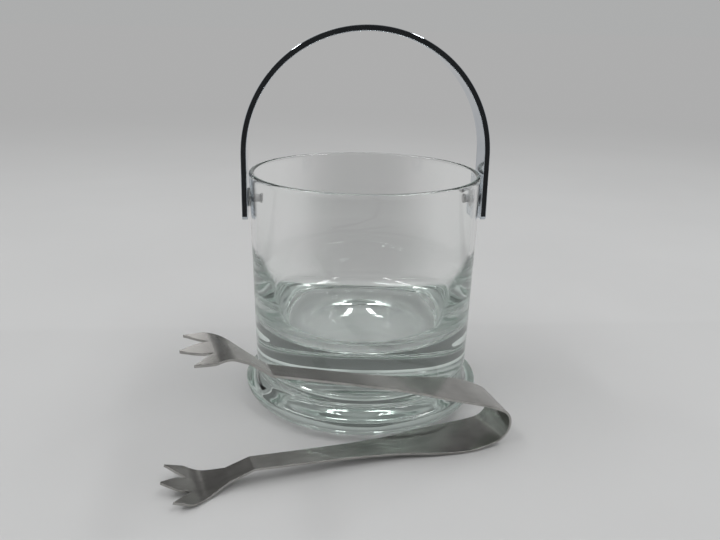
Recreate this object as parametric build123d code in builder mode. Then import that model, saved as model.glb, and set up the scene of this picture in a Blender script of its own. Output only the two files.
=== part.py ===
from build123d import *
from math import cos, radians, sin
import os

# Ice bucket: a glass vessel with a swinging bail handle, and the ice tongs that go with it.
# Frame: the origin is the centre of the foot's resting face, +Z is up, +X runs along the
# handle's pivot axis and -Y is the front.  Lengths are in millimetres, angles in degrees.

# ---------------------------------------------------------------- driving dimensions
# glass vessel, outside
bucket_height = 127.0
rim_radius = 62.0
body_base_radius = 59.6
body_base_height = 24.0
waist_radius = 56.2
waist_height = 15.5
foot_radius = 65.7
foot_edge_height = 9.3
foot_edge_drop = 2.4
contact_radius = 57.5

# glass vessel, inside
rim_wall = 2.7
upper_wall = 2.3
bowl_start_height = 89.0
bowl_sweep_radius = 75.0
bowl_sweep_angle = 10.5
bowl_corner_radius = 18.0
floor_height = 40.0

# recess under the foot
recess_radius = 44.0
recess_depth = 2.5

# handle band: a flat strip bent to an arch
band_width = 19.0
band_thickness = 3.0
band_outer_radius = 65.6
band_arch_height = 136.4
band_end_height = 101.8
band_corner_radius = 2.0
band_edge_radius = 0.4

# pivots
pivot_height = 112.3
glass_hole_radius = 2.15
sleeve_radius = 2.12
sleeve_reach = 3.0
bushing_bore_radius = 1.56
flange_radius = 5.0
flange_edge_radius = 0.25
rivet_radius = 1.5
rivet_head_radius = 2.9
cap_radius = 2.5
cap_length = 1.5
cap_end_thickness = 0.5
cap_edge_radius = 0.4
tight_clearance = 0.02
end_clearance = 0.1

# tongs: one strip bent to a bow, each arm ending in a claw with three teeth.
# Profile points are (distance from the bow, distance from the tongs' middle plane) and
# outline points are (distance from the bow, half width).
strip_thickness = 1.2
bow_radius = 9.6
bow_angle = 68.0
shoulder_radius = 75.0
arm_slope = 5.8
arm_end = 127.5
claw_root = (138.0, 30.1)
claw_palm = (149.5, 35.5)
palm_bend_radius = 15.0
claw_tip = (168.0, 32.6)
bow_half_width = 11.5
arm_half_widths = ((20.0, 12.7), (38.0, 10.8), (57.0, 7.4), (80.0, 5.7), (arm_end, 5.0))
root_half_width = 5.3
palm_half_width = (147.0, 9.6)
outer_tooth_side = (155.5, 14.4)
outer_tooth_tip = (164.4, 13.9)
outer_tooth_inside = (159.0, 8.6)
notch = (154.6, 5.0)
middle_tooth_side = (160.0, 4.6)
tooth_tip_half_width = 0.35
seam_gap = 0.03

# where the tongs lie, in front of the bucket, resting on bow and claw
bow_position = (66.2, -60.6, 11.33)
tongs_heading = 197.1
tongs_tilt = 9.43
tongs_roll = -5.4


def outer_wall_radius(height):
    """Outside radius of the tapered body at a height."""
    rise = (height - body_base_height) / (bucket_height - rim_wall / 2 - body_base_height)
    return body_base_radius + rise * (rim_radius - body_base_radius)


# ---------------------------------------------------------------- glass bucket
lip_height = bucket_height - rim_wall / 2
bowl_start_radius = outer_wall_radius(bowl_start_height) - upper_wall

with BuildPart() as glass_bucket:
    with BuildSketch(Plane.XZ):
        with BuildLine():
            # recess, resting ring and rounded foot
            recess = ThreePointArc(
                (0, recess_depth), (recess_radius / 2, 0.75 * recess_depth), (recess_radius, 0)
            )
            resting_ring = Line(recess @ 1, (contact_radius, 0))
            foot_edge = (foot_radius, foot_edge_height)
            foot_top = (foot_radius - 1.5 * foot_edge_drop, foot_edge_height + foot_edge_drop)
            Spline(resting_ring @ 1, foot_edge, tangents=((1, 0), (0, 1)))
            Spline(foot_edge, foot_top, tangents=((0, 1), (-1, 0.25)))
            # waist, shoulder and tapered wall
            waist = (waist_radius, waist_height)
            Spline(foot_top, waist, tangents=((-1, 0.25), (0, 1)))
            body_base = (body_base_radius, body_base_height)
            Spline(waist, body_base, tangents=((0.5, 1), (0, 1)))
            Line(body_base, (rim_radius, lip_height))
            # rounded lip
            lip = ThreePointArc(
                (rim_radius, lip_height),
                (rim_radius - rim_wall / 2, bucket_height),
                (rim_radius - rim_wall, lip_height),
            )
            # inner wall, swept bowl and floor
            inner_wall = Line(lip @ 1, (bowl_start_radius, bowl_start_height))
            sweep_arc = JernArc(
                inner_wall @ 1, inner_wall % 1, bowl_sweep_radius, -bowl_sweep_angle
            )
            slope_direction = sweep_arc % 1
            corner_angle = 90 - slope_direction.get_angle(Vector(0, -1))
            corner_drop = bowl_corner_radius * (1 - cos(radians(corner_angle)))
            slope_drop = (sweep_arc @ 1).Y - floor_height - corner_drop
            slope_length = slope_drop / -slope_direction.Y
            slope = Line(sweep_arc @ 1, sweep_arc @ 1 + slope_direction * slope_length)
            corner = JernArc(slope @ 1, slope % 1, bowl_corner_radius, -corner_angle)
            bowl_floor = Line(corner @ 1, (0, floor_height))
            Line(bowl_floor @ 1, recess @ 0)
        make_face()
    revolve(axis=Axis.Z)
    # the two holes for the pivots, in line along X
    with BuildSketch(Plane.YZ):
        with Locations((0, pivot_height)):
            Circle(glass_hole_radius)
    extrude(amount=rim_radius + 1, both=True, mode=Mode.SUBTRACT)
glass_bucket.part.label = "glass_bucket"


# ---------------------------------------------------------------- handle band
def arch_outline(radius):
    """Two straight legs and a half-round arch at one distance from the middle."""
    left_leg = Line((-radius, band_end_height), (-radius, band_arch_height))
    arch = ThreePointArc(
        left_leg @ 1, (0, band_arch_height + radius), (radius, band_arch_height)
    )
    Line(arch @ 1, (radius, band_end_height))


band_inner_radius = band_outer_radius - band_thickness
band_hole_radius = rivet_radius + tight_clearance
band_sink_radius = rivet_head_radius + tight_clearance

with BuildPart() as handle_band:
    with BuildSketch(Plane.XZ):
        with BuildLine():
            arch_outline(band_outer_radius)
            arch_outline(band_inner_radius)
            for side in (-1, 1):
                Line(
                    (side * band_inner_radius, band_end_height),
                    (side * band_outer_radius, band_end_height),
                )
        make_face()
    extrude(amount=band_width / 2, both=True)
    leg_corners = handle_band.edges().filter_by(Axis.X).group_by(Axis.Z)[0]
    fillet(leg_corners, radius=band_corner_radius)
    rim_edges = handle_band.faces().filter_by(Axis.Y).edges()
    fillet(rim_edges, radius=band_edge_radius)
    for side in (-1, 1):
        outside = Plane(
            origin=(side * band_outer_radius, 0, pivot_height), z_dir=(side, 0, 0)
        )
        with Locations(outside):
            CounterSinkHole(
                radius=band_hole_radius,
                counter_sink_radius=band_sink_radius,
                depth=2 * band_thickness,
                counter_sink_angle=90,
            )
handle_band.part.label = "handle_band"


# ---------------------------------------------------------------- pivots
def turned_piece(side, outline):
    """A round piece about the pivot axis: outline points are (distance along X, radius)."""
    with BuildPart() as piece:
        with BuildSketch(Plane.XZ):
            with BuildLine():
                Polyline([(side * x, pivot_height + r) for x, r in outline], close=True)
            make_face()
        revolve(axis=Axis((0, 0, pivot_height), (1, 0, 0)))
    return piece


glass_outside = outer_wall_radius(pivot_height + flange_radius) + tight_clearance
glass_inside = outer_wall_radius(pivot_height) - upper_wall
flange_face = band_inner_radius - end_clearance
sleeve_end = glass_inside - sleeve_reach
cap_mouth = sleeve_end - end_clearance
cap_end = cap_mouth - cap_length
cap_bore_radius = rivet_radius + tight_clearance
rivet_end = cap_end + cap_end_thickness + tight_clearance
rivet_cone_end = band_outer_radius - (rivet_head_radius - rivet_radius)

pivot_pieces = []
for side, name in ((-1, "left"), (1, "right")):
    rivet = turned_piece(
        side,
        (
            (band_outer_radius, 0),
            (band_outer_radius, rivet_head_radius),
            (rivet_cone_end, rivet_radius),
            (rivet_end, rivet_radius),
            (rivet_end, 0),
        ),
    )
    rivet.part.label = f"{name}_pivot_rivet"

    bushing = turned_piece(
        side,
        (
            (flange_face, bushing_bore_radius),
            (flange_face, flange_radius),
            (glass_outside, flange_radius),
            (glass_outside, sleeve_radius),
            (sleeve_end, sleeve_radius),
            (sleeve_end, bushing_bore_radius),
        ),
    )
    with bushing:
        flange_rims = bushing.edges().filter_by(GeomType.CIRCLE).sort_by(SortBy.RADIUS)[-2:]
        fillet(flange_rims, radius=flange_edge_radius)
    bushing.part.label = f"{name}_flanged_bushing"

    cap = turned_piece(
        side,
        (
            (cap_mouth, cap_bore_radius),
            (cap_mouth, cap_radius),
            (cap_end, cap_radius),
            (cap_end, 0),
            (cap_end + cap_end_thickness, 0),
            (cap_end + cap_end_thickness, cap_bore_radius),
        ),
    )
    with cap:
        cap_rim = cap.edges().filter_by(GeomType.CIRCLE).sort_by(Axis.X)[0 if side > 0 else -1]
        fillet(cap_rim, radius=cap_edge_radius)
    cap.part.label = f"{name}_retaining_cap"
    pivot_pieces += [rivet.part, bushing.part, cap.part]


# ---------------------------------------------------------------- tongs
tongs_along = Vector(
    cos(radians(tongs_heading)) * cos(radians(tongs_tilt)),
    sin(radians(tongs_heading)) * cos(radians(tongs_tilt)),
    sin(radians(tongs_tilt)),
)
level_across = Vector(-sin(radians(tongs_heading)), cos(radians(tongs_heading)), 0)
tongs_across = level_across.rotate(Axis((0, 0, 0), tongs_along), tongs_roll)


def tongs_outline(side_plane):
    """The strip's outline seen square on, as a block that reaches from the seam past the claw."""
    seam = Vector(bow_position) + side_plane.y_dir * seam_gap
    with BuildPart() as block:
        with BuildSketch(Plane(seam, x_dir=tongs_along, z_dir=side_plane.y_dir)):
            with BuildLine():
                Spline([(-2, bow_half_width), (2, bow_half_width), *arm_half_widths])
                Line(arm_half_widths[-1], (claw_root[0], root_half_width))
                Spline((claw_root[0], root_half_width), palm_half_width, outer_tooth_side)
                Spline(outer_tooth_side, outer_tooth_tip)
                Spline(outer_tooth_tip, outer_tooth_inside, notch)
                Spline(notch, middle_tooth_side, (claw_tip[0], tooth_tip_half_width))
                Polyline(
                    (claw_tip[0], tooth_tip_half_width), (claw_tip[0], 0), (-2, 0), (-2, bow_half_width)
                )
            make_face()
            mirror(about=Plane.XZ)
        extrude(amount=2 * claw_palm[1])
    return block.part


def tongs_half(side):
    """One arm of the tongs from the middle of the bow to the claw: side 1 is the upper arm."""
    side_plane = Plane(bow_position, x_dir=tongs_along, z_dir=tongs_across * -side)
    with BuildPart() as half:  # the bent strip, still at full width
        with BuildSketch(side_plane):
            with BuildLine():
                lead_in = Line((0, -2), (0, 0))
                bow = JernArc(lead_in @ 1, lead_in % 1, bow_radius, -bow_angle)
                shoulder_angle = 90 - arm_slope - bow_angle
                shoulder = JernArc(bow @ 1, bow % 1, shoulder_radius, -shoulder_angle)
                slope = shoulder % 1
                arm_length = (arm_end - (shoulder @ 1).X) / slope.X
                arm = Line(shoulder @ 1, shoulder @ 1 + slope * arm_length)
                Line(arm @ 1, claw_root)
                FilletPolyline(claw_root, claw_palm, claw_tip, radius=palm_bend_radius)
                offset(amount=strip_thickness / 2)
            make_face()
        extrude(amount=outer_tooth_side[1] + 2, both=True)
    return half.part & tongs_outline(side_plane)


tongs_upper = tongs_half(1)
tongs_upper.label = "tongs_upper_half"
tongs_lower = tongs_half(-1)
tongs_lower.label = "tongs_lower_half"


# ---------------------------------------------------------------- one STEP file per piece
os.makedirs("parts", exist_ok=True)
for piece in [glass_bucket.part, handle_band.part, *pivot_pieces, tongs_upper, tongs_lower]:
    export_step(piece, f"parts/{piece.label}.step")
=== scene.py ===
import bmesh
import bpy
import math
from mathutils import Matrix, Vector


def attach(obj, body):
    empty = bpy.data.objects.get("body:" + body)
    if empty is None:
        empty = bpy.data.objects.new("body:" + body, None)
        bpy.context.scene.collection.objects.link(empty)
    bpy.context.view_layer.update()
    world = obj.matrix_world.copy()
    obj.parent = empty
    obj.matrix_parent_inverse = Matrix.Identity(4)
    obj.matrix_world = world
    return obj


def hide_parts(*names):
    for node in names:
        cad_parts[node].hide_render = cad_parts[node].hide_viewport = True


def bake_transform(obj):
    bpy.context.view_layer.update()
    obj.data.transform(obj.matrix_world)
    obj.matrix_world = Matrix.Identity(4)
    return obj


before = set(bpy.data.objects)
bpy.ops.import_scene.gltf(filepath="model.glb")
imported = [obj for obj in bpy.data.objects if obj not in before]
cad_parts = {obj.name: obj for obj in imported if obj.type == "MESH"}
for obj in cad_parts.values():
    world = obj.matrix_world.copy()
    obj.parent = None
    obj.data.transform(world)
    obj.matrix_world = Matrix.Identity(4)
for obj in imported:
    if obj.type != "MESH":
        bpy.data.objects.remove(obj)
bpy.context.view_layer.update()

MM = 0.001


# ------------------------------------------------------------------ small geometry helpers
def smooth_step(x, low, high):
    """0 below low, 1 above high, and an S curve between."""
    t = min(1.0, max(0.0, (x - low) / (high - low)))
    return t * t * (3 - 2 * t)


def hermite(start, end, start_direction, end_direction, steps=12):
    """Points after start, on the cubic that leaves and arrives along the two directions."""
    start, end = Vector(start), Vector(end)
    pull = (end - start).length
    leave = Vector(start_direction).normalized() * pull
    arrive = Vector(end_direction).normalized() * pull
    points = []
    for i in range(1, steps + 1):
        t = i / steps
        points.append(
            (2 * t**3 - 3 * t**2 + 1) * start
            + (t**3 - 2 * t**2 + t) * leave
            + (3 * t**2 - 2 * t**3) * end
            + (t**3 - t**2) * arrive
        )
    return points


def arc(start, heading, radius, turn, steps):
    """Points after start on an arc that sets off at heading and turns, both in degrees."""
    side = math.copysign(1, turn)
    across = math.radians(heading + 90 * side)
    centre = Vector(start) + radius * Vector((math.cos(across), math.sin(across)))
    points = []
    for i in range(1, steps + 1):
        angle = across + math.pi + math.radians(turn) * i / steps
        points.append(centre + radius * Vector((math.cos(angle), math.sin(angle))))
    return points


def line(start, end, steps):
    """Points after start on a straight line."""
    start, end = Vector(start), Vector(end)
    return [start.lerp(end, i / steps) for i in range(1, steps + 1)]


def through(points, x):
    """Height at x of a smooth curve through the points, its slopes taken from their neighbours."""
    last = len(points) - 1
    k = next((i for i in range(last) if x <= points[i + 1][0]), last - 1)

    def slope(i):
        low, high = points[max(i - 1, 0)], points[min(i + 1, last)]
        return (high[1] - low[1]) / (high[0] - low[0])

    (x0, y0), (x1, y1) = points[k], points[k + 1]
    span = x1 - x0
    t = min(1.0, max(0.0, (x - x0) / span))
    return (
        (2 * t**3 - 3 * t**2 + 1) * y0
        + (t**3 - 2 * t**2 + t) * span * slope(k)
        + (3 * t**2 - 2 * t**3) * y1
        + (t**3 - t**2) * span * slope(k + 1)
    )


def make_piece(name, vertices, faces, material):
    """A smooth-shaded mesh object from points in millimetres in the row frame."""
    mesh = bpy.data.meshes.new(name)
    mesh.from_pydata([Vector(v) * MM for v in vertices], [], faces)
    mesh.validate()
    cleaner = bmesh.new()
    cleaner.from_mesh(mesh)
    bmesh.ops.recalc_face_normals(cleaner, faces=cleaner.faces)
    cleaner.to_mesh(mesh)
    cleaner.free()
    mesh.polygons.foreach_set("use_smooth", [True] * len(mesh.polygons))
    piece = bpy.data.objects.new(name, mesh)
    bpy.context.scene.collection.objects.link(piece)
    piece.data.materials.append(material)
    return piece


def settle(piece):
    """Makes the piece's modifiers part of its mesh."""
    evaluated = piece.evaluated_get(bpy.context.evaluated_depsgraph_get())
    mesh = bpy.data.meshes.new_from_object(evaluated)
    piece.modifiers.clear()
    piece.data = mesh


def keep_flats_flat(piece, sharp_angle):
    """Sharp shading over steep edges, and flat faces that stay flat beside small roundings."""
    piece.data.set_sharp_from_angle(angle=math.radians(sharp_angle))
    weighted = piece.modifiers.new("flats", "WEIGHTED_NORMAL")
    weighted.keep_sharp = True
    weighted.weight = 100


# ------------------------------------------------------------------ materials
def node_adder(tree):
    """A function that adds a node to the tree, with its settings and its inputs' values or links."""

    def add(kind, inputs=None, **settings):
        node = tree.nodes.new(kind)
        for key, value in settings.items():
            setattr(node, key, value)
        for key, value in (inputs or {}).items():
            if isinstance(value, bpy.types.NodeSocket):
                tree.links.new(value, node.inputs[key])
            else:
                node.inputs[key].default_value = value
        return node

    return add


def new_material(name):
    """A material, its Principled shader, its node adder and a function that wires the shader."""
    material = bpy.data.materials.new(name)
    material.use_nodes = True
    tree = material.node_tree
    shader = tree.nodes["Principled BSDF"]

    def wire(socket, key):
        tree.links.new(socket, shader.inputs[key])

    return material, shader, node_adder(tree), wire


def ramp(add, factor, stops):
    """A colour ramp node's colour output, from (position, colour) stops."""
    node = add("ShaderNodeValToRGB", {"Fac": factor})
    elements = node.color_ramp.elements
    while len(elements) < len(stops):
        elements.new(0.5)
    for element, (position, colour) in zip(elements, stops):
        element.position = position
        element.color = (*colour, 1) if len(colour) == 3 else colour
    return node.outputs["Color"]


def spread(add, factor, low, high):
    """A value output that runs from low to high as factor runs from 0.3 to 0.7."""
    node = add(
        "ShaderNodeMapRange",
        {"Value": factor, "From Min": 0.3, "From Max": 0.7, "To Min": low, "To Max": high},
    )
    return node.outputs["Result"]


def roughen(add, wire, place, scale, detail, strength, distance):
    """A noise bump on the shader's normal; returns the noise's value."""
    noise = add("ShaderNodeTexNoise", {"Vector": place, "Scale": scale, "Detail": detail})
    height = noise.outputs["Fac"]
    bump = add("ShaderNodeBump", {"Height": height, "Strength": strength, "Distance": distance})
    wire(bump.outputs["Normal"], "Normal")
    return height


def glass_material():
    """Clear soda glass: faint waviness, a little dust in the roughness and a green-grey body."""
    material, shader, add, wire = new_material("clear_glass")
    shader.inputs["Transmission Weight"].default_value = 1.0
    shader.inputs["IOR"].default_value = 1.52
    place = add("ShaderNodeTexCoord").outputs["Object"]
    cloud = add("ShaderNodeTexNoise", {"Vector": place, "Scale": 35.0, "Detail": 3.0})
    wire(ramp(add, cloud.outputs["Fac"], [(0.3, (0.985, 0.995, 0.99)), (0.7, (1, 1, 1))]), "Base Color")
    wire(spread(add, cloud.outputs["Fac"], 0.0, 0.012), "Roughness")
    roughen(add, wire, place, 60.0, 1.0, 0.06, 0.001)
    body = add("ShaderNodeVolumeAbsorption", {"Color": (0.66, 0.84, 0.76, 1), "Density": 4.0})
    output = material.node_tree.nodes["Material Output"]
    material.node_tree.links.new(body.outputs["Volume"], output.inputs["Volume"])
    return material


def chrome_material():
    """Polished chrome with faint finger marks and hairline wear."""
    material, shader, add, wire = new_material("handle_chrome")
    shader.inputs["Metallic"].default_value = 1.0
    place = add("ShaderNodeTexCoord").outputs["Object"]
    smudge = add("ShaderNodeTexNoise", {"Vector": place, "Scale": 90.0, "Detail": 4.0})
    wire(
        ramp(add, smudge.outputs["Fac"], [(0.3, (0.56, 0.61, 0.67)), (0.7, (0.66, 0.7, 0.75))]),
        "Base Color",
    )
    wire(spread(add, smudge.outputs["Fac"], 0.03, 0.09), "Roughness")
    roughen(add, wire, place, 900.0, 2.0, 0.03, 0.0002)
    return material


def pivot_material(name, dark, light, low, high):
    """Plain steel with fine tool marks."""
    material, shader, add, wire = new_material(name)
    shader.inputs["Metallic"].default_value = 1.0
    place = add("ShaderNodeTexCoord").outputs["Object"]
    cloud = add("ShaderNodeTexNoise", {"Vector": place, "Scale": 500.0, "Detail": 3.0})
    wire(ramp(add, cloud.outputs["Fac"], [(0.3, dark), (0.7, light)]), "Base Color")
    wire(spread(add, cloud.outputs["Fac"], low, high), "Roughness")
    roughen(add, wire, place, 2500.0, 1.0, 0.1, 0.0001)
    return material


def plastic_material():
    """Translucent moulded plastic, milky grey."""
    material, shader, add, wire = new_material("bushing_plastic")
    shader.inputs["Transmission Weight"].default_value = 0.45
    shader.inputs["IOR"].default_value = 1.48
    place = add("ShaderNodeTexCoord").outputs["Object"]
    cloud = add("ShaderNodeTexNoise", {"Vector": place, "Scale": 300.0, "Detail": 3.0})
    wire(
        ramp(add, cloud.outputs["Fac"], [(0.3, (0.66, 0.68, 0.69)), (0.7, (0.8, 0.81, 0.82))]),
        "Base Color",
    )
    wire(spread(add, cloud.outputs["Fac"], 0.28, 0.42), "Roughness")
    roughen(add, wire, place, 2500.0, 1.0, 0.15, 0.0001)
    return material


def tongs_material():
    """Satin stainless strip, brushed along its length; the UV map is in metres along and across."""
    material, shader, add, wire = new_material("tongs_steel")
    shader.inputs["Metallic"].default_value = 1.0
    shader.inputs["Anisotropic"].default_value = 0.55
    strip = add("ShaderNodeTexCoord").outputs["UV"]
    lengthwise = add("ShaderNodeMapping", {"Vector": strip, "Scale": (60, 4200, 1)})
    hair = roughen(add, wire, lengthwise.outputs["Vector"], 1.0, 4.0, 0.12, 0.0001)
    cloud = add("ShaderNodeTexNoise", {"Vector": strip, "Scale": 70.0, "Detail": 4.0})
    both = add(
        "ShaderNodeMix",
        {"Factor": 0.5, "A": hair, "B": cloud.outputs["Fac"]},
    )
    tone = both.outputs["Result"]
    wire(ramp(add, tone, [(0.35, (0.31, 0.303, 0.288)), (0.65, (0.51, 0.5, 0.48))]), "Base Color")
    wire(spread(add, tone, 0.14, 0.24), "Roughness")
    tangent = add("ShaderNodeTangent", direction_type="UV_MAP", uv_map="strip")
    wire(tangent.outputs["Tangent"], "Tangent")
    return material


# ------------------------------------------------------------------ glass bucket
HEIGHT = 127.0
RIM_RADIUS = 62.0
RIM_WALL = 2.7
BASE_RADIUS, BASE_HEIGHT = 59.6, 24.0
WAIST = (56.2, 15.5)
FOOT = (65.7, 9.3)
FOOT_TOP = (62.1, 11.7)
CONTACT_RADIUS = 57.5
RECESS_RADIUS, RECESS_DEPTH = 44.0, 2.5
UPPER_WALL = 2.3
BOWL_START = 89.0
BOWL_SWEEP_RADIUS, BOWL_SWEEP = 75.0, 10.5
BOWL_CORNER_RADIUS = 18.0
BOWL_FLOOR = 40.0
PIVOT_HEIGHT = 112.3
GLASS_HOLE_RADIUS = 2.15
CUT_BEYOND = 5.0
ROUND = 192


def outer_wall(height):
    """Outside radius of the tapered body."""
    rise = (height - BASE_HEIGHT) / (HEIGHT - RIM_WALL / 2 - BASE_HEIGHT)
    return BASE_RADIUS + rise * (RIM_RADIUS - BASE_RADIUS)


def glass_profile():
    """Section of the vessel as (radius, height), from the recess round the outside to the floor."""
    lip = HEIGHT - RIM_WALL / 2
    points = [Vector((0, RECESS_DEPTH))]
    for i in range(1, 9):
        share = i / 8
        points.append(Vector((RECESS_RADIUS * share, RECESS_DEPTH * (1 - share * share))))
    points += line(points[-1], (CONTACT_RADIUS, 0), 3)
    points += hermite((CONTACT_RADIUS, 0), FOOT, (1, 0), (0, 1))
    points += hermite(FOOT, FOOT_TOP, (0, 1), (-1, 0.25), 8)
    points += hermite(FOOT_TOP, WAIST, (-1, 0.25), (0, 1))
    points += hermite(WAIST, (BASE_RADIUS, BASE_HEIGHT), (0.5, 1), (0, 1))
    points += line(points[-1], (RIM_RADIUS, lip), 60)
    points += arc(points[-1], 90, RIM_WALL / 2, 180, 12)
    wall_start = points[-1]
    bowl_start = Vector((outer_wall(BOWL_START) - UPPER_WALL, BOWL_START))
    points += line(wall_start, bowl_start, 16)
    heading = math.degrees(math.atan2(bowl_start.y - wall_start.y, bowl_start.x - wall_start.x))
    points += arc(points[-1], heading, BOWL_SWEEP_RADIUS, -BOWL_SWEEP, 32)
    heading -= BOWL_SWEEP
    corner_turn = 180 + heading
    drop = BOWL_CORNER_RADIUS * (1 - math.cos(math.radians(corner_turn)))
    slope_length = (points[-1].y - BOWL_FLOOR - drop) / -math.sin(math.radians(heading))
    slope = Vector((math.cos(math.radians(heading)), math.sin(math.radians(heading))))
    points += line(points[-1], points[-1] + slope * slope_length, 8)
    points += arc(points[-1], heading, BOWL_CORNER_RADIUS, -corner_turn, 24)
    points += line(points[-1], (0, BOWL_FLOOR), 6)
    return points


def revolved(profile, segments):
    """Points and faces of a profile turned round the Z axis; its two ends lie on the axis."""
    vertices, faces = [(0, 0, profile[0].y)], []
    rings = profile[1:-1]
    for point in rings:
        for i in range(segments):
            angle = 2 * math.pi * i / segments
            vertices.append((point.x * math.cos(angle), point.x * math.sin(angle), point.y))
    vertices.append((0, 0, profile[-1].y))
    top = len(vertices) - 1
    for i in range(segments):
        j = (i + 1) % segments
        faces.append((0, 1 + j, 1 + i))
        for ring in range(len(rings) - 1):
            low, high = 1 + ring * segments, 1 + (ring + 1) * segments
            faces.append((low + i, low + j, high + j, high + i))
        faces.append((top - segments + i, top - segments + j, top))
    return vertices, faces


def cut_with(piece, cutter):
    """Takes the cutter's shape out of the piece and removes the cutter."""
    cut = piece.modifiers.new("cut", "BOOLEAN")
    cut.operation = "DIFFERENCE"
    cut.solver = "EXACT"
    cut.object = cutter
    settle(piece)
    bpy.data.objects.remove(cutter)


def turned_along_x(name, outline, material, segments=48):
    """A round solid about the pivot axis, from (distance along X, radius) pairs, ends on the axis."""
    vertices, faces = revolved([Vector((r, x)) for x, r in outline], segments)
    placed = [(z, x, y + PIVOT_HEIGHT) for x, y, z in vertices]
    return make_piece(name, placed, faces, material)


def glass_bucket(material):
    piece = make_piece("glass_vessel", *revolved(glass_profile(), ROUND), material)
    reach = RIM_RADIUS + CUT_BEYOND
    outline = [(-reach, 0), (-reach, GLASS_HOLE_RADIUS), (reach, GLASS_HOLE_RADIUS), (reach, 0)]
    cut_with(piece, turned_along_x("hole_cutter", outline, material))
    piece.data.set_sharp_from_angle(angle=math.radians(50))
    return piece


# ------------------------------------------------------------------ handle band
BAND_WIDTH = 19.0
BAND_THICKNESS = 3.0
BAND_RADIUS = 65.6
BAND_ARCH_HEIGHT = 136.4
BAND_END = 101.8
BAND_CORNER = 2.0
BAND_EDGE = 0.4
HEAD_RADIUS, RIVET_RADIUS = 2.92, 1.52
SINK_START, SINK_BEYOND = 60.0, 1.0


def band_path(s, leg, middle_radius):
    """Place and outward direction in the XZ plane at distance s along the band's middle."""
    arch = math.pi * middle_radius
    if s < leg:
        return Vector((-middle_radius, 0, BAND_END + s)), Vector((-1, 0, 0))
    if s > leg + arch:
        return Vector((middle_radius, 0, BAND_END + 2 * leg + arch - s)), Vector((1, 0, 0))
    angle = math.pi - (s - leg) / middle_radius
    outward = Vector((math.cos(angle), 0, math.sin(angle)))
    return Vector((0, 0, BAND_ARCH_HEIGHT)) + outward * middle_radius, outward


def round_inset(distance, radius):
    """How far a corner of that radius has drawn in, at a distance from the end."""
    if distance >= radius:
        return 0.0
    return radius - math.sqrt(radius**2 - (radius - distance) ** 2)


def handle_band(material):
    leg = BAND_ARCH_HEIGHT - BAND_END
    middle_radius = BAND_RADIUS - BAND_THICKNESS / 2
    length = 2 * leg + math.pi * middle_radius
    ends = [BAND_CORNER * (1 - math.cos(math.pi / 2 * i / 10)) for i in range(11)]
    ends = sorted(set(ends + [BAND_EDGE * i / 4 for i in range(4)]))
    stations = ends + [leg * i / 6 for i in range(1, 7)]
    stations += [leg + math.pi * middle_radius * i / 120 for i in range(1, 60)]
    stations += [length / 2] + [length - s for s in reversed(stations)]
    steps = 4
    vertices, faces = [], []
    for s in stations:
        place, outward = band_path(s, leg, middle_radius)
        from_end = min(s, length - s)
        edge = round_inset(from_end, BAND_EDGE)
        half_width = BAND_WIDTH / 2 - round_inset(from_end, BAND_CORNER) - edge
        half_thickness = BAND_THICKNESS / 2 - edge
        for quarter in range(4):
            side = (1, -1, -1, 1)[quarter], (1, 1, -1, -1)[quarter]
            for i in range(steps + 1):
                angle = math.pi / 2 * (quarter + i / steps)
                y = side[0] * (half_width - BAND_EDGE) + BAND_EDGE * math.cos(angle)
                n = side[1] * (half_thickness - BAND_EDGE) + BAND_EDGE * math.sin(angle)
                vertices.append(place + Vector((0, y, 0)) + outward * n)
    ring = 4 * (steps + 1)
    for k in range(len(stations) - 1):
        for i in range(ring):
            j = (i + 1) % ring
            faces.append((k * ring + i, k * ring + j, (k + 1) * ring + j, (k + 1) * ring + i))
    faces.append(tuple(range(ring)))
    faces.append(tuple(range(len(vertices) - ring, len(vertices))))
    piece = make_piece("bail_band", vertices, faces, material)
    cone = BAND_RADIUS - (HEAD_RADIUS - RIVET_RADIUS)
    for side in (-1, 1):
        outline = [
            (side * SINK_START, 0),
            (side * SINK_START, RIVET_RADIUS),
            (side * cone, RIVET_RADIUS),
            (side * (BAND_RADIUS + SINK_BEYOND), HEAD_RADIUS + SINK_BEYOND),
            (side * (BAND_RADIUS + SINK_BEYOND), 0),
        ]
        cut_with(piece, turned_along_x("sink_cutter", outline, material))
    keep_flats_flat(piece, 35)
    return piece


# ------------------------------------------------------------------ tongs
STRIP = 1.2
BOW_PLACE = Vector((66.2, -60.6, 11.33))
HEADING, TILT, ROLL = 197.1, 9.43, -5.4
BOW_RADIUS, BOW_ANGLE = 9.6, 68.0
SHOULDER_RADIUS, ARM_SLOPE, ARM_END = 75.0, 5.8, 127.5
CLAW_ROOT, CLAW_PALM, CLAW_TIP = (138.0, 30.1), (149.5, 35.5), (168.0, 32.6)
KINK_RADIUS, ROOT_RADIUS, PALM_RADIUS = 2.0, 4.0, 15.0
ARM_WIDTHS = ((-2, 11.5), (2, 11.5), (20, 12.7), (38, 10.8), (57, 7.4), (80, 5.7), (127.5, 5.0))
CLAW_WIDTHS = ((138.0, 5.3), (147.0, 9.6), (155.5, 14.4))
OUTER_TIP = (164.4, 13.9)
TIP_WIDTH = 0.3
NOTCH = (154.6, 5.0)
OUTER_INSIDE = (NOTCH, (159.0, 8.6), OUTER_TIP)
TIP_NARROWS_FROM = 163.0
STRIP_EDGE = 0.18
MIDDLE_TOOTH = (NOTCH, (160.0, 4.6), (168.0, 0.35))


def tongs_axes():
    heading, tilt = math.radians(HEADING), math.radians(TILT)
    along = Vector(
        (
            math.cos(heading) * math.cos(tilt),
            math.sin(heading) * math.cos(tilt),
            math.sin(tilt),
        )
    )
    level = Vector((-math.sin(heading), math.cos(heading), 0))
    across = Matrix.Rotation(math.radians(ROLL), 3, along) @ level
    return along, across, along.cross(across)


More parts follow.
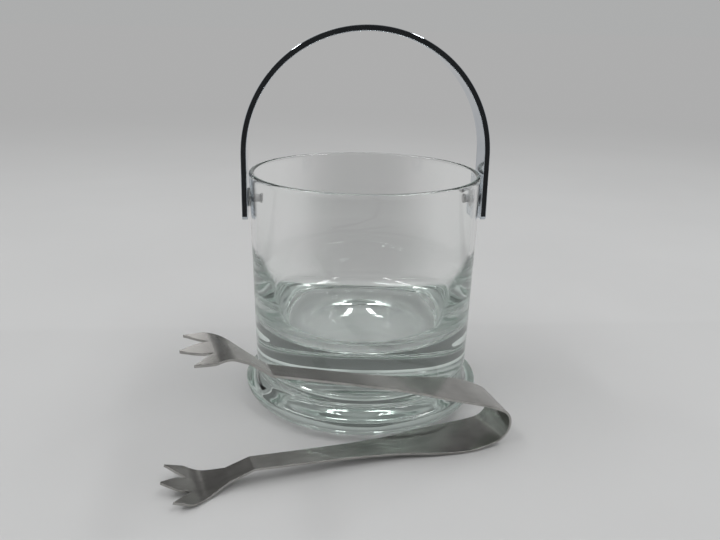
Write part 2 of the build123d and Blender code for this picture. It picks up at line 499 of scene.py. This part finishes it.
def rounded_bend(corner, before, after, radius, steps):
    """Points of the arc that rounds a corner between two straight stretches."""
    corner, before, after = Vector(corner), Vector(before), Vector(after)
    arriving, leaving = (corner - before).normalized(), (after - corner).normalized()
    turn = arriving.angle_signed(leaving)
    reach = radius * math.tan(abs(turn) / 2)
    start = corner - arriving * reach
    heading = math.degrees(math.atan2(arriving.y, arriving.x))
    return [start] + arc(start, heading, radius, -math.degrees(turn), steps)


def arm_profile():
    """Middle line of one arm as (distance from the bow, distance from the middle plane)."""
    points = [Vector((0, 0))]
    points += arc(points[-1], 90, BOW_RADIUS, -BOW_ANGLE, 16)
    turn = 90 - ARM_SLOPE - BOW_ANGLE
    points += arc(points[-1], 90 - BOW_ANGLE, SHOULDER_RADIUS, -turn, 10)
    slope = math.tan(math.radians(ARM_SLOPE))
    arm_end = (ARM_END, points[-1].y + (ARM_END - points[-1].x) * slope)
    kink = rounded_bend(arm_end, points[-1], CLAW_ROOT, KINK_RADIUS, 4)
    root = rounded_bend(CLAW_ROOT, arm_end, CLAW_PALM, ROOT_RADIUS, 3)
    palm = rounded_bend(CLAW_PALM, CLAW_ROOT, CLAW_TIP, PALM_RADIUS, 10)
    points += line(points[-1], kink[0], 24) + kink[1:]
    points += line(points[-1], root[0], 3) + root[1:]
    points += line(points[-1], palm[0], 3) + palm[1:]
    points += line(points[-1], CLAW_TIP, 24)
    return points


def half_width(a):
    """Half width of the strip at a distance from the bow, short of the notches."""
    if a <= ARM_END:
        return through(ARM_WIDTHS, a)
    if a <= CLAW_ROOT[0]:
        share = (a - ARM_END) / (CLAW_ROOT[0] - ARM_END)
        return ARM_WIDTHS[-1][1] + share * (CLAW_WIDTHS[0][1] - ARM_WIDTHS[-1][1])
    return through(CLAW_WIDTHS, a)


def profile_height(profile, a):
    """Distance from the middle plane at a distance from the bow, on the stretch past the bow."""
    for low, high in zip(profile, profile[1:]):
        if low.x <= a <= high.x:
            return low.y + (high.y - low.y) * (a - low.x) / (high.x - low.x)
    return profile[-1].y


def tongs(material):
    """One bent strip: rows of points across it from claw to bow to claw, thickened afterwards."""
    along, across, upward = tongs_axes()
    vertices, marks, faces = [], [], []
    profile = arm_profile()

    def add_point(a, b, across_by, travelled):
        vertices.append(BOW_PLACE + along * a + upward * b + across * across_by)
        marks.append((travelled * MM, across_by * MM))
        return len(vertices) - 1

    share = NOTCH[1] / half_width(NOTCH[0])
    columns = [-1 + (1 - share) * i / 4 for i in range(4)]
    columns += [-share + 2 * share * i / 6 for i in range(7)]
    columns += [share + (1 - share) * i / 4 for i in range(1, 5)]

    def strip(rows):
        for low, high in zip(rows, rows[1:]):
            for i in range(len(low) - 1):
                faces.append((low[i], low[i + 1], high[i + 1], high[i]))

    def finger(start_row, edges, tip_a, side, travelled):
        """A tooth that grows from the points of start_row; edges(a) gives its two sides."""
        rows = [start_row]
        count = len(start_row) - 1
        for k in range(1, 11):
            a = NOTCH[0] + (tip_a - NOTCH[0]) * math.sin(math.pi / 2 * k / 10)
            low, high = edges(a)
            b = side * profile_height(profile, a)
            row = [
                add_point(a, b, low + (high - low) * i / count, travelled + side * (a - NOTCH[0]))
                for i in range(count + 1)
            ]
            rows.append(row)
        strip(rows)

    bow_row = [add_point(0, 0, c * half_width(0), 0) for c in columns]
    for side in (-1, 1):
        rows, travelled, last = [bow_row], 0.0, profile[0]
        stations = [p for p in profile[1:] if p.x < NOTCH[0] - 0.4]
        stations.append(Vector((NOTCH[0], profile_height(profile, NOTCH[0]))))
        for point in stations:
            travelled += (point - last).length
            last = point
            width = half_width(point.x)
            rows.append(
                [add_point(point.x, side * point.y, c * width, side * travelled) for c in columns]
            )
        strip(rows)
        end = rows[-1]

        def outer_side(a):
            if a <= CLAW_WIDTHS[-1][0]:
                return through(CLAW_WIDTHS, a)
            share_out = (a - CLAW_WIDTHS[-1][0]) / (OUTER_TIP[0] - CLAW_WIDTHS[-1][0])
            return CLAW_WIDTHS[-1][1] + share_out * (OUTER_TIP[1] - CLAW_WIDTHS[-1][1])

        def outer_inside(a):
            narrowing = smooth_step(a, TIP_NARROWS_FROM, OUTER_TIP[0])
            return through(OUTER_INSIDE, a) - TIP_WIDTH * narrowing

        def low_tooth(a):
            return -outer_side(a), -outer_inside(a)

        def middle_tooth(a):
            return -through(MIDDLE_TOOTH, a), through(MIDDLE_TOOTH, a)

        def high_tooth(a):
            return outer_inside(a), outer_side(a)

        teeth = (
            (end[:5], low_tooth, OUTER_TIP[0]),
            (end[4:11], middle_tooth, MIDDLE_TOOTH[-1][0]),
            (end[10:], high_tooth, OUTER_TIP[0]),
        )
        for row, edges, tip_a in teeth:
            finger(row, edges, tip_a, side, side * travelled)

    piece = make_piece("tongs_strip", vertices, faces, material)
    layer = piece.data.uv_layers.new(name="strip")
    for loop in piece.data.loops:
        layer.data[loop.index].uv = marks[loop.vertex_index]
    solid = piece.modifiers.new("thickness", "SOLIDIFY")
    solid.thickness = STRIP * MM
    solid.offset = 0.0
    solid.use_even_offset = True
    edge = piece.modifiers.new("edge", "BEVEL")
    edge.width = STRIP_EDGE * MM
    edge.segments = 3
    edge.limit_method = "ANGLE"
    edge.angle_limit = math.radians(60)
    settle(piece)
    keep_flats_flat(piece, 40)
    return piece


# ------------------------------------------------------------------ pieces on their bodies
glass = glass_material()
chrome = chrome_material()
steel = tongs_material()

vessel = glass_bucket(glass)
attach(vessel, "bucket")
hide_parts("glass_bucket")

band = handle_band(chrome)
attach(band, "handle")
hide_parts("handle_band")

strip_piece = tongs(steel)
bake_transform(strip_piece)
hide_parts("tongs_lower_half", "tongs_upper_half")

node_materials = {
    "pivot_rivet": pivot_material("pivot_steel", (0.6, 0.6, 0.61), (0.75, 0.75, 0.76), 0.08, 0.2),
    "retaining_cap": pivot_material("cap_steel", (0.36, 0.36, 0.36), (0.5, 0.5, 0.5), 0.25, 0.4),
    "flanged_bushing": plastic_material(),
}
for name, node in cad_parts.items():
    for ending, material in node_materials.items():
        if name.endswith(ending):
            node.data.materials.clear()
            node.data.materials.append(material)


# ------------------------------------------------------------------ floor, light and camera
FLOOR_SIZE = 40.0
FLOOR_DROP = 0.0003
BACKDROP = 0.42
CAMERA_SIDE = 0.02
MIRRORED_LOW, MIRRORED_HIGH = 0.47, 0.14
BENT_MIDDLE, BENT_SIDES, BENT_CAMERA_SIDE = 0.4, 0.54, 0.12
BENT_HIGH, BENT_OVERHEAD = 0.2, 0.38
ELSEWHERE = 0.55
VIEW_ASIDE = 0.09
BASE_TOP = (0.055, 0.045)
# Painted shade: the table seen through the back of the solid base is drawn this much darker.
PAINTED_SHADE_BEHIND_BASE = (0.12, 0.12, 0.12, 1)
# Painted light: the table under the glass glows, standing in for the light that the glass carries down
# onto it.
PAINTED_GLOW_UNDER_GLASS = 0.11
LIGHT_HEIGHT = 1.8
STRIP_SIZE, STRIP_RADIANCE = (0.22, 2.2), 9.5
TUBE_RADIANCE = 1.6
PANEL_SIZE, PANEL_RADIANCE = (0.2, 1.3), 16.0
CAMERA_PLACE = (-39.3, -414.4, 203.1)
CAMERA_TURN, CAMERA_PITCH, CAMERA_ROLL = -5.21, 90 - 17.64, 1.19
CAMERA_LENS, SENSOR_WIDTH = 39.0, 36.0
BOUNCES = 24


def math_node(add, operation, first, second=0.0):
    return add("ShaderNodeMath", {0: first, 1: second}, operation=operation).outputs["Value"]


def mix_value(add, factor, low, high):
    """low where factor is 0, high where it is 1."""
    node = add("ShaderNodeMix", {"Factor": factor, "A": low, "B": high})
    return node.outputs["Result"]


def step_value(add, value, low, high):
    """0 below low and 1 above high, smooth between."""
    node = add(
        "ShaderNodeMapRange",
        {"Value": value, "From Min": low, "From Max": high},
        interpolation_type="SMOOTHSTEP",
    )
    return node.outputs["Result"]


def surroundings(add, direction):
    """Brightness of the room in a direction: a pale backdrop to the eye.  What the object mirrors
    is darker above the backdrop and dark where the camera stands.  What the glass bends is darker
    in the middle of the view and high up, and lighter at the two sides and overhead."""
    parts = add("ShaderNodeSeparateXYZ", {"Vector": direction})
    ahead = math_node(add, "MULTIPLY", parts.outputs["Y"], -1.0)
    low = math_node(add, "SUBTRACT", 1.0, step_value(add, parts.outputs["Z"], 0.45, 0.8))
    dark = math_node(add, "MULTIPLY", step_value(add, ahead, 0.3, 0.75), low)
    above = step_value(add, parts.outputs["Z"], 0.3, 0.62)
    high = step_value(add, parts.outputs["Z"], 0.05, 0.35)
    aside = math_node(add, "SUBTRACT", parts.outputs["X"], VIEW_ASIDE)
    beside = step_value(add, math_node(add, "ABSOLUTE", aside), 0.02, 0.14)
    rays = add("ShaderNodeLightPath")
    mirrored = mix_value(add, above, MIRRORED_LOW, MIRRORED_HIGH)
    mirrored = mix_value(add, dark, mirrored, CAMERA_SIDE)
    overhead = step_value(add, parts.outputs["Z"], 0.42, 0.65)
    overhead = mix_value(add, overhead, BENT_HIGH, BENT_OVERHEAD)
    around = mix_value(add, high, mix_value(add, beside, BENT_MIDDLE, BENT_SIDES), overhead)
    bent = mix_value(add, dark, around, BENT_CAMERA_SIDE)
    seen = mix_value(add, rays.outputs["Is Glossy Ray"], ELSEWHERE, mirrored)
    seen = mix_value(add, rays.outputs["Is Transmission Ray"], seen, bent)
    return mix_value(add, rays.outputs["Is Camera Ray"], seen, BACKDROP)


def studio_world():
    """Even light from all round, with the brightness that surroundings gives."""
    world = bpy.data.worlds.new("studio")
    world.use_nodes = True
    bpy.context.scene.world = world
    tree = world.node_tree
    add = node_adder(tree)
    direction = add("ShaderNodeTexCoord").outputs["Generated"]
    background = tree.nodes["Background"]
    tree.links.new(surroundings(add, direction), background.inputs["Strength"])
    background.inputs["Color"].default_value = (0.99, 1.0, 1.0, 1)


def painted_shade_behind_base(add, spot, direction):
    """1 where a ray that left the back of the solid base meets the table, 0 elsewhere: the mask for the
    painted shade that darkens the table seen through the base.
    """
    crossings = add("ShaderNodeLightPath").outputs["Transmission Depth"]
    heading = add("ShaderNodeSeparateXYZ", {"Vector": direction})
    run = math_node(add, "SUBTRACT", spot.outputs["Y"], BASE_RADIUS * MM)
    slope = math_node(add, "DIVIDE", heading.outputs["Z"], heading.outputs["Y"])
    left_at = math_node(add, "MULTIPLY", math_node(add, "MULTIPLY", run, slope), -1.0)
    shade = step_value(add, left_at, *BASE_TOP)
    for condition in (
        step_value(add, run, 0.0, 0.03),
        math_node(add, "GREATER_THAN", heading.outputs["Y"], 0.0),
        math_node(add, "GREATER_THAN", crossings, 0.5),
        math_node(add, "LESS_THAN", crossings, 2.5),
    ):
        shade = math_node(add, "MULTIPLY", shade, condition)
    return shade


def floor_material():
    """Pale matte table top that runs out into the backdrop's own brightness far away; it carries
    painted shade behind the base and a painted glow under the glass.
    """
    material, shader, add, wire = new_material("pale_floor")
    shader.inputs["Roughness"].default_value = 0.6
    shader.inputs["Specular IOR Level"].default_value = 0.2
    place = add("ShaderNodeTexCoord").outputs["Object"]
    cloud = add("ShaderNodeTexNoise", {"Vector": place, "Scale": 6.0, "Detail": 3.0})
    spot = add("ShaderNodeSeparateXYZ", {"Vector": place})
    behind = spot.outputs["Y"]
    shade = step_value(add, behind, 0.088, 0.1)
    near = ramp(add, cloud.outputs["Fac"], [(0.3, (0.585,) * 3), (0.7, (0.605,) * 3)])
    beyond = ramp(add, cloud.outputs["Fac"], [(0.3, (0.6,) * 3), (0.7, (0.62,) * 3)])
    tone = add("ShaderNodeMix", {"Factor": shade, "A": near, "B": beyond}, data_type="RGBA")
    straight = add("ShaderNodeLightPath").outputs["Is Camera Ray"]
    incoming = add("ShaderNodeNewGeometry").outputs["Incoming"]
    outgoing = add("ShaderNodeVectorMath", {0: incoming, 1: (-1, -1, -1)}, operation="MULTIPLY")
    # Painted shade on the table behind the base, only for rays that come through the solid base.
    painted_shade_mask = painted_shade_behind_base(add, spot, outgoing.outputs["Vector"])
    darker = add(
        "ShaderNodeMix",
        {"Factor": painted_shade_mask, "A": tone.outputs["Result"], "B": PAINTED_SHADE_BEHIND_BASE},
        data_type="RGBA",
    )
    wire(darker.outputs["Result"], "Base Color")
    tree = material.node_tree
    distance = add("ShaderNodeVectorMath", {0: place}, operation="LENGTH").outputs["Value"]
    # Painted light: a white glow on the table under the glass, fading out past its foot.
    shader.inputs["Emission Color"].default_value = (1, 1, 1, 1)
    outward = step_value(add, distance, 0.035, 0.062)
    wire(mix_value(add, outward, PAINTED_GLOW_UNDER_GLASS, 0.0), "Emission Strength")
    # Far away the table becomes an emission: to the eye, the backdrop's even brightness; for mirrored
    # and bent rays, painted light with the room's brightness from surroundings, which these rays also
    # meet nearer and just behind the bucket.
    glow = add("ShaderNodeEmission", {"Strength": surroundings(add, outgoing.outputs["Vector"])})
    far_bent = math_node(
        add, "MAXIMUM", step_value(add, distance, 0.24, 0.36), step_value(add, behind, 0.06, 0.11)
    )
    far_bent = math_node(add, "MULTIPLY", far_bent, math_node(add, "SUBTRACT", 1.0, painted_shade_mask))
    far = mix_value(add, straight, far_bent, step_value(add, distance, 0.4, 1.6))
    blend = add("ShaderNodeMixShader", {"Fac": far, 1: shader.outputs["BSDF"], 2: glow.outputs[0]})
    tree.links.new(blend.outputs["Shader"], tree.nodes["Material Output"].inputs["Surface"])
    return material


def floor():
    mesh = bpy.data.meshes.new("floor")
    half = FLOOR_SIZE / 2
    corners = [(-half, -half), (half, -half), (half, half), (-half, half)]
    mesh.from_pydata([(x, y, -FLOOR_DROP) for x, y in corners], [], [(0, 1, 2, 3)])
    piece = bpy.data.objects.new("floor", mesh)
    bpy.context.scene.collection.objects.link(piece)
    mesh.materials.append(floor_material())


def area_light(name, x, y, size, radiance, reach):
    """An area light that faces down; reach names the kinds of ray that meet it."""
    data = bpy.data.lights.new(name, "AREA")
    data.shape = "RECTANGLE"
    data.size, data.size_y = size
    data.energy = radiance * math.pi * size[0] * size[1]
    light = bpy.data.objects.new(name, data)
    light.location = (x, y, LIGHT_HEIGHT)
    light.visible_diffuse = "diffuse" in reach
    light.visible_glossy = "glossy" in reach
    light.visible_transmission = "transmission" in reach
    bpy.context.scene.collection.objects.link(light)


def camera():
    data = bpy.data.cameras.new("camera")
    data.sensor_width = SENSOR_WIDTH
    data.lens = CAMERA_LENS
    data.clip_start = 0.01
    piece = bpy.data.objects.new("camera", data)
    bpy.context.scene.collection.objects.link(piece)
    turn = Matrix.Rotation(math.radians(CAMERA_TURN), 4, "Z")
    pitch = Matrix.Rotation(math.radians(CAMERA_PITCH), 4, "X")
    roll = Matrix.Rotation(math.radians(CAMERA_ROLL), 4, "Z")
    place = Matrix.Translation(Vector(CAMERA_PLACE) * MM)
    piece.matrix_world = place @ turn @ pitch @ roll
    bpy.context.scene.camera = piece


floor()
studio_world()
area_light("left_strip", -1.15, -0.3, STRIP_SIZE, STRIP_RADIANCE, {"diffuse", "glossy"})
area_light("right_strip", 1.0, -0.3, STRIP_SIZE, STRIP_RADIANCE, {"diffuse", "glossy"})
area_light("left_tube", -2.4, 3.2, (0.2, 2.4), TUBE_RADIANCE, {"glossy"})
area_light("middle_tube", -0.42, 3.0, (0.2, 2.0), TUBE_RADIANCE, {"glossy"})
area_light("left_panel", -0.42, -0.8, PANEL_SIZE, PANEL_RADIANCE, {"transmission"})
area_light("right_panel", 0.36, -0.8, PANEL_SIZE, PANEL_RADIANCE, {"transmission"})
camera()

settings = bpy.context.scene
settings.view_settings.view_transform = "Standard"
settings.cycles.glossy_bounces = BOUNCES
settings.cycles.transmission_bounces = BOUNCES
settings.cycles.max_bounces = BOUNCES
